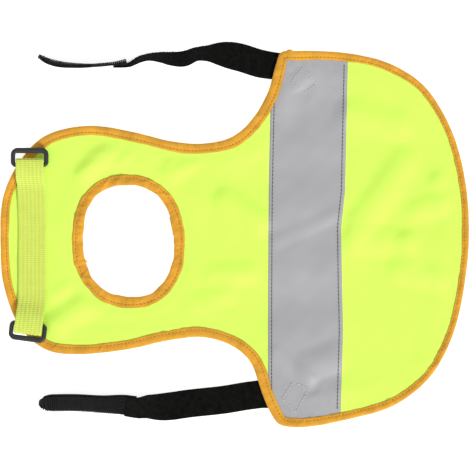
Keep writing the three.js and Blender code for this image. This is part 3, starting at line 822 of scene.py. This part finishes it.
def webbing_end(x, y, heading, reach):
    """The strip's middle line from its tail, round the bar and back on top, with its side direction."""
    angle = math.radians(heading)
    out = np.array([math.cos(angle), math.sin(angle)])
    bottom, top = BAR_LEVEL - FOLD_RADIUS, BAR_LEVEL + FOLD_RADIUS
    steps = [(-9, bottom), (-5, bottom)]
    centre = reach - FOLD_RADIUS - PACKED_WALL / 2
    for turn in np.linspace(-math.pi / 2, math.pi / 2, TURN_STEPS):
        steps.append((centre + FOLD_RADIUS * math.cos(turn), BAR_LEVEL + FOLD_RADIUS * math.sin(turn)))
    steps += [(-2.5, top), (-5.5, top - 0.6), (-8.5, top - 1.8)]
    side = (math.sin(angle), -math.cos(angle))
    return [(x + out[0] * a, y + out[1] * a, z, *side) for a, z in steps]


LYING = 3.1
right_end = webbing_end(*RINGS["ring_right"])
left_end = [(x, y, z, -ax, -ay) for x, y, z, ax, ay in reversed(webbing_end(*RINGS["ring_left"]))]
middle_rows = [(20.3, 37, LYING + 1.6, 1, 0), (20.6, 31, LYING + 0.5, 1, 0), (20.9, 23, LYING, 1, 0),
               (21.2, 8, LYING - 0.2, 1, 0), (21.1, -12, LYING - 0.1, 1, 0), (21.1, -30, LYING, 1, 0),
               (21.1, -38, LYING + 0.4, 1, 0), (20.7, -43, LYING + 1.6, 0.995, -0.07)]
path = resample(right_end + middle_rows + left_end, PATH_STEP)
print("the webbing's path has", len(path), "sections")

# %% Chest webbing
# a ridge and a pick of weft stand this high; towards the strip's edges both are nearly flat
RIDGES, RELIEF, WEFT_STRENGTH = 7, 0.13, 1.3
RIDGES_TO, FLAT_RIDGE = 0.9, 0.05
WEFT_TO, FLAT_WEFT = 0.88, 0.03
WEBBING_COLUMNS = 43


def webbing_relief(run, share):
    """Ridges along the strip and weft across it."""
    ridge = math.cos(share * math.pi * RIDGES) * RELIEF if abs(share) < RIDGES_TO else FLAT_RIDGE
    weft = RELIEF if abs(share) < WEFT_TO else FLAT_WEFT
    return ridge + WEFT_STRENGTH * weft * np.sin(run * 2 * math.pi / WEFT_PITCH)


across = np.column_stack([path[:, 3], path[:, 4], np.zeros(len(path))])
webbing, _, run = ribbon("chest_strip", path[:, :3], across, WEBBING_WIDTH, WEBBING_WALL,
                         webbing_finish, WEBBING_COLUMNS, webbing_relief)
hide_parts("chest_webbing")

# %% [markdown]
# ## The rings
# Each ring is a hard black loop with a heavier outer bar and round corners. A torus could be bent to
# it, but its bars differ in thickness. So it is swept round four corners, with the imported ring's own
# sizes and a finer section, and rides on its own body.

# %% Rings
OUTER_CORNER, HELD_CORNER = 3.0, 2.2
CORNER_STEPS, RING_SIDES = 13, 24
# how square the section is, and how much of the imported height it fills
RING_SQUARENESS, RING_FILL = 0.8, 0.985


def ring_mesh(name, x, y, heading):
    """A ring with its held bar at a place, turned to the webbing's heading."""
    half = WEBBING_WIDTH / 2 + GAP + SIDE_BAR / 2
    far = SLOT + OUTER_BAR / 2
    r, tight = OUTER_CORNER, HELD_CORNER
    corners = [(half - r, far - r, r, 0, SIDE_BAR, OUTER_BAR),
               (r - half, far - r, r, 90, OUTER_BAR, SIDE_BAR),
               (tight - half, tight, tight, 180, SIDE_BAR, BAR),
               (half - tight, tight, tight, 270, BAR, SIDE_BAR)]
    turn = np.arange(RING_SIDES) / RING_SIDES * 2 * math.pi
    points = []
    for cx, cy, bend, start, bar_a, bar_b in corners:
        for t in np.linspace(0, 1, CORNER_STEPS):
            angle, bar = math.radians(start + 90 * t), bar_a + (bar_b - bar_a) * t
            reach = bend + bar / 2 * squared(np.cos(turn), RING_SQUARENESS)
            height = BAR / 2 * RING_FILL * squared(np.sin(turn), RING_SQUARENESS)
            points.append(np.column_stack([cx + reach * math.cos(angle), cy + reach * math.sin(angle),
                                           height]))
    sections = len(points)
    points = np.vstack(points)
    lean = math.radians(heading - 90)
    rotate = np.array([[math.cos(lean), math.sin(lean)], [-math.sin(lean), math.cos(lean)]])
    points[:, :2] = points[:, :2] @ rotate + (x, y)
    points[:, 2] += BAR_LEVEL
    faces = grid_faces(sections, RING_SIDES, True, True)
    piece = make_piece(name + "_loop", to_frame(points), faces, ring_finish, name)
    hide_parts(name)
    return piece


rings = [ring_mesh(name, x, y, heading) for name, (x, y, heading, _) in RINGS.items()]

# %% [markdown]
# ## The straps
# Each strap is loop tape with a length of hook tape sewn to its end. The right strap twists until it
# stands nearly on its edge with the hooks outwards; the left one leans. A simulation would let both
# fall flat, so a table gives the middle line, the roll and the share of full width. A strap's lower
# edge rests on the floor, and where the two tapes overlap one is moved off the other.

# %% Strap tables and sections
STRAP_WIDTH, STRAP_WALL = 18.7, 1.2
# x, y, roll in degrees, share of the full width
RIGHT_STRAP = [
    (24.9, 121.8, -84, 0.15), (26.3, 121.1, -84, 0.5), (30.3, 118.8, -83, 0.88), (35.6, 117.0, -82, 1),
    (50.3, 115.3, -85, 1), (74.9, 116.5, -88, 1), (84.3, 117.7, -81, 1), (90.3, 119.3, -77, 1),
    (98.3, 121.5, -75, 1),
    (106.3, 121.5, -68, 1), (114.3, 120.5, -60, 1), (122.3, 120.5, -56, 1), (130.3, 123.5, -60, 1),
    (138.3, 124.1, -54, 1), (146.3, 123.8, -33, 1), (158.3, 121.8, -4, 1), (174.3, 117.1, 0, 1),
    (186.3, 115.5, 0, 0.95), (194.9, 114.5, 0, 0.95),
]
LEFT_STRAP = [
    (26.7, -108.4, 54, 0.15), (27.9, -108.5, 54, 0.55), (30.9, -108.5, 54, 0.88), (34.9, -108.4, 54, 1),
    (50.3, -108.3, 54, 1), (68.9, -109.4, 52, 1), (82.9, -109.9, 45, 1), (90.3, -110.9, 43, 1),
    (98.3, -111.2, 32, 1), (106.3, -111.5, 17, 1), (114.3, -110.9, 3, 1), (122.3, -109.7, 0, 1),
    (150.3, -106.5, 0, 1), (166.3, -103.9, 0, 1), (176.9, -102.9, 0, 1), (186.3, -103.9, 0, 1),
    (200.9, -108.9, 0, 0.95),
]


def strap_sections(rows, start, end, offset, spacing):
    """Middle, across and width share of a strap between two places along x."""
    table = np.array(rows, float)
    x = np.linspace(start, end, int((end - start) / spacing) + 2)
    read = read_smoothly(table[:, 0], table[:, 1:], x)
    y, roll, span = read[:, 0], np.radians(read[:, 1]), np.clip(read[:, 2], 0.05, 1)
    slope = np.gradient(y, x)
    along = np.column_stack([np.ones(len(x)), slope, np.zeros(len(x))])
    along /= np.linalg.norm(along, axis=1)[:, None]
    across = np.column_stack([-along[:, 1] * np.cos(roll), along[:, 0] * np.cos(roll), np.sin(roll)])
    normal = np.cross(along, across)
    resting = (np.abs(np.sin(roll)) * STRAP_WIDTH * span + np.cos(roll) * STRAP_WALL) / 2
    middle = np.column_stack([x, y, resting]) + normal * offset(x)[:, None]
    middle[:, 2] = np.maximum(middle[:, 2], resting)
    return middle, across, span

# %% Hooks
HOOK_PITCH, HOOK_COLUMNS, HOOK_SPREAD, HOOK_HALF_WIDTH, HOOK_JITTER = 1.35, 13, 0.86, 0.52, 0.06
HOOK_TAPE_WALL, LOWEST = 1.1, 0.05
# how far the hook leans out, how high it is there, and half its thickness
HOOK_SHAPE = [(0.0, 0.0, 0.3), (0.0, 0.6, 0.26), (0.08, 1.05, 0.24), (0.32, 1.3, 0.22),
              (0.6, 1.22, 0.2), (0.72, 0.95, 0.14)]
HOOK_CORNERS = [(-1, -1), (1, -1), (1, 1), (-1, 1)]


def hooks(name, middle, across, normal, run, span):
    """Rows of small bent hooks across the tape, one joined mesh."""
    along = unit_along(middle)
    points = []
    for i in np.searchsorted(run, np.arange(1.2, run[-1] - 0.5, HOOK_PITCH)):
        for share in np.linspace(-HOOK_SPREAD, HOOK_SPREAD, HOOK_COLUMNS):
            base = middle[i] + across[i] * share * STRAP_WIDTH / 2 * span[i] + normal[i] * HOOK_TAPE_WALL / 2
            aside, ahead = rng.uniform(-HOOK_JITTER, HOOK_JITTER, 2)
            for out, up, half in HOOK_SHAPE:
                centre = base + across[i] * (out + aside * up) + normal[i] * up + along[i] * ahead * up
                for a, b in HOOK_CORNERS:
                    points.append(centre + across[i] * a * half + along[i] * b * HOOK_HALF_WIDTH)
    points = np.array(points)
    points[:, 2] = np.maximum(points[:, 2], LOWEST)
    size = len(HOOK_SHAPE) * len(HOOK_CORNERS)
    faces = many_tubes(len(points) // size, len(HOOK_SHAPE), len(HOOK_CORNERS))
    return make_piece(name, to_frame(points), faces, hook_finish)


# %% Nap
LOOP_TAPE_WALL, FIBRES, FIBRE_STEPS = 1.0, 2600, 4
# a fibre's reach to the side, and half the width and the thickness of its three-sided section
FIBRE_REACH, FIBRE_HALF_WIDTH, FIBRE_THICK = 0.5, 0.05, 0.06
# the curl carries a fibre this far round half a turn
FIBRE_CURL = 0.8


def nap(name, middle, across, normal, span, count):
    """Short curled fibres that stand out of the loop tape's face, one joined mesh."""
    i = rng.randint(1, len(middle) - 1, count)
    share = rng.uniform(-1, 1, count)
    aside = (share * STRAP_WIDTH / 2 * span[i])[:, None]
    base = middle[i] + across[i] * aside + normal[i] * LOOP_TAPE_WALL / 2
    way = rng.normal(size=(count, 3))
    way /= np.linalg.norm(way, axis=1)[:, None]
    high = rng.uniform(0.25, 0.6, count)[:, None]
    side = np.cross(way, normal[i]) * FIBRE_HALF_WIDTH
    rows = []
    for t in np.linspace(0, 1, FIBRE_STEPS):
        centre = base + normal[i] * high * math.sin(t * math.pi * FIBRE_CURL) + way * FIBRE_REACH * t
        rows.append(np.stack([centre - side, centre + side, centre + normal[i] * FIBRE_THICK], 1))
    points = np.stack(rows, 1).reshape(-1, 3)
    points[:, 2] = np.maximum(points[:, 2], LOWEST)
    return make_piece(name, to_frame(points), many_tubes(count, FIBRE_STEPS, 3), loop_finish)


# %% Sew the straps
HOOK_STEP, LOOP_STEP = 0.27, 0.6
HOOK_TAPE_COLUMNS, LOOP_TAPE_COLUMNS = 15, 33
# where the tapes overlap, the space between them and the slope that ends the overlap
LAP_GAP, LAP_EASE = 0.3, (0.5, 9)
FUZZ, FUZZ_SCALE, FUZZ_SEED = 0.18, 2.2, 31


def strap(side, rows, loop_start, hook_end, lap):
    """Hook tape and loop tape of one strap, with its hooks and its nap."""
    def flat_on(x):
        return np.zeros(len(x))

    def moved_off(x):
        fade = ease(x, hook_end + LAP_EASE[0], hook_end + LAP_EASE[1])
        return lap * (STRAP_WALL + LAP_GAP) * (1 - fade)

    def fuzz(run, share):
        return FUZZ * soft_noise(np.column_stack([run, run * 0 + share * 9]), FUZZ_SCALE, FUZZ_SEED)

    middle, across, span = strap_sections(rows, rows[0][0], hook_end, flat_on, HOOK_STEP)
    hook, normal, run = ribbon(f"{side}_strap_hook", middle, across, STRAP_WIDTH, HOOK_TAPE_WALL,
                               hook_finish, HOOK_TAPE_COLUMNS, span=span)
    hook_rows = hooks(f"{side}_strap_hooks", middle, across, normal, run, span)
    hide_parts(f"strap_{side}_hook")
    middle, across, span = strap_sections(rows, loop_start, rows[-1][0], moved_off, LOOP_STEP)
    loop, normal, run = ribbon(f"{side}_strap_loop", middle, across, STRAP_WIDTH, LOOP_TAPE_WALL,
                               loop_finish, LOOP_TAPE_COLUMNS, fuzz, span)
    fibres = nap(f"{side}_strap_nap", middle, across, normal, span, FIBRES)
    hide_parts(f"strap_{side}_loop")


# %% [markdown]
# ## Floor, light and camera
# The vest lies on a plain pale floor. A backdrop could be built round it, but an even sky fills the
# shadows and is simpler. A soft lamp from one side shows the folds, and the camera looks straight
# down with a long lens, so that raised pieces are hardly shifted outward.

# %% Floor
FLOOR_SIZE, FLOOR_CELLS, BELOW = 6, 40, -0.0004
bpy.ops.mesh.primitive_grid_add(x_subdivisions=FLOOR_CELLS, y_subdivisions=FLOOR_CELLS,
                                size=FLOOR_SIZE, location=(0, 0, BELOW))
floor = bpy.context.object
floor.name = "vest_floor"
floor_finish = finish("pale_floor", (0.86, 0.86, 0.86), rough=0.9, mottle=0.01, mottle_scale=3.0,
                      specular=0.1)
floor_shader = floor_finish.node_tree.nodes["Principled BSDF"]
floor_shader.inputs["Emission Color"].default_value = (1, 1, 1, 1)
floor_shader.inputs["Emission Strength"].default_value = 0.62
floor.data.materials.append(floor_finish)
print("the floor is", FLOOR_SIZE, "m wide")

# %% Straps on the floor
# side, table, where the loop tape starts, where the hook tape ends, which side the lap moves to
strap("right", RIGHT_STRAP, 75.2, 84.3, -1)
strap("left", LEFT_STRAP, 83.2, 90.3, 1)

# %% Light and camera
world = bpy.data.worlds.new("sky")
bpy.context.scene.world = world
world.use_nodes = True
sky = world.node_tree.nodes["Background"]
sky.inputs["Color"].default_value = (1, 1, 1, 1)
sky.inputs["Strength"].default_value = 0.72
lamp_data = bpy.data.lights.new("soft_lamp", "SUN")
lamp_data.energy = 2.1
lamp_data.angle = math.radians(14)
lamp = bpy.data.objects.new("soft_lamp", lamp_data)
bpy.context.collection.objects.link(lamp)
lamp.rotation_euler = (math.radians(48), 0, math.radians(35))
camera_data = bpy.data.cameras.new("camera")
camera_data.lens = 600
camera_data.sensor_width = 36
camera = bpy.data.objects.new("camera", camera_data)
bpy.context.collection.objects.link(camera)
SEEN_WIDTH, TOP_OF_VEST = 0.3133, 0.002
camera_height = SEEN_WIDTH * camera_data.lens / camera_data.sensor_width + TOP_OF_VEST
camera.location = (0.0002, -0.00035, camera_height)
camera.rotation_euler = (0, 0, 0)
bpy.context.scene.camera = camera
bpy.context.scene.view_settings.view_transform = "Standard"
print("the camera is", round(camera_height, 2), "m up")
